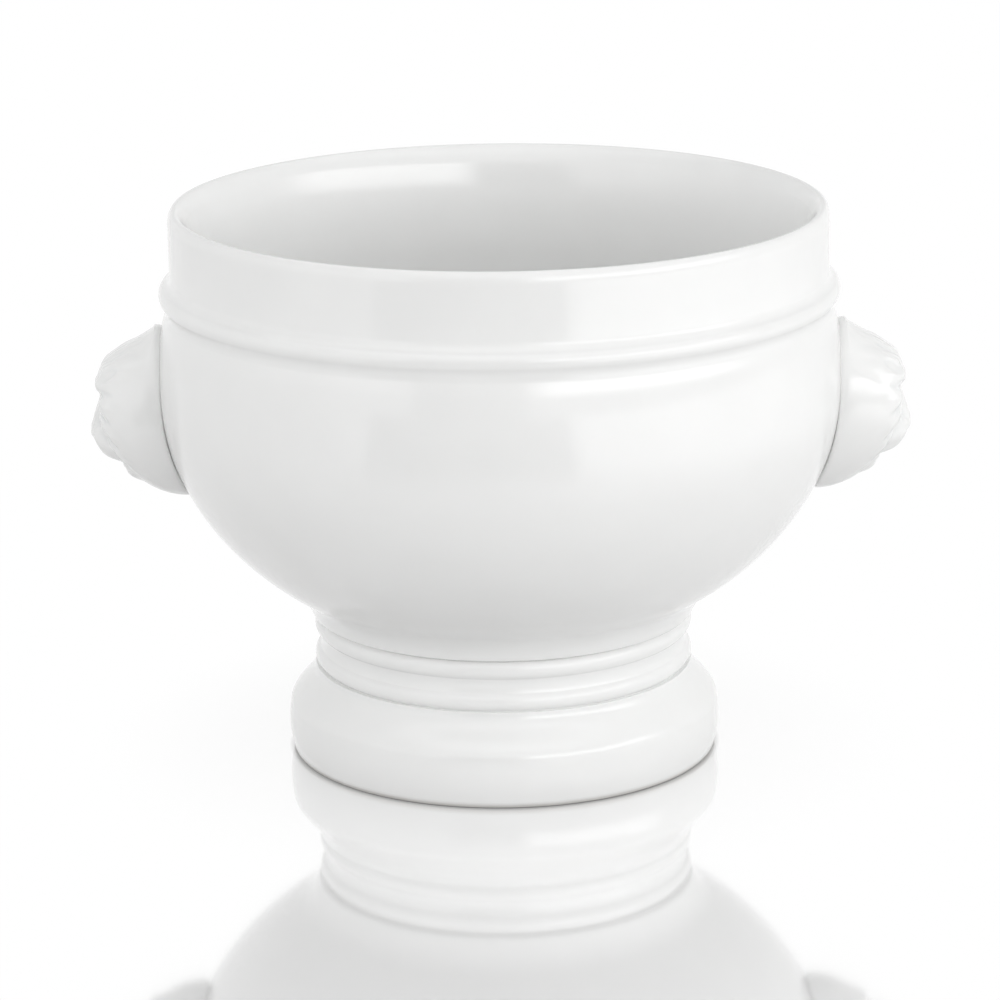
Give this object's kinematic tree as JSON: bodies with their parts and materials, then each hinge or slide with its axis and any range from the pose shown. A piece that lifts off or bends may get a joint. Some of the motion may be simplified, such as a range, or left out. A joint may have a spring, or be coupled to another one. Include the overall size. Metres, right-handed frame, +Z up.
{
  "type": "french onion soup crock",
  "caption": "Footed round porcelain soup crock with a banded rim, a hollow pedestal foot and a lion-mask handle on each side.",
  "frame": {"origin": "on the table, at the centre of the foot", "axes": "+Z up along the axis of the bowl, X through the noses of the two lion masks, Y across them"},
  "size_m": [0.1492, 0.124, 0.1015],
  "materials": {
    "glaze": "clear gloss glaze over white porcelain, matt where the foot ring is wiped bare",
    "slip": "matt fired slip, recessed in the joints"
  },
  "bodies": {
    "root": {"bowl": "glaze", "foot": "glaze", "foot_slip": "slip", "lion_head_left": "glaze", "lion_head_right": "glaze", "head_slip_left": "slip", "head_slip_right": "slip"}
  },
  "joints": []
}
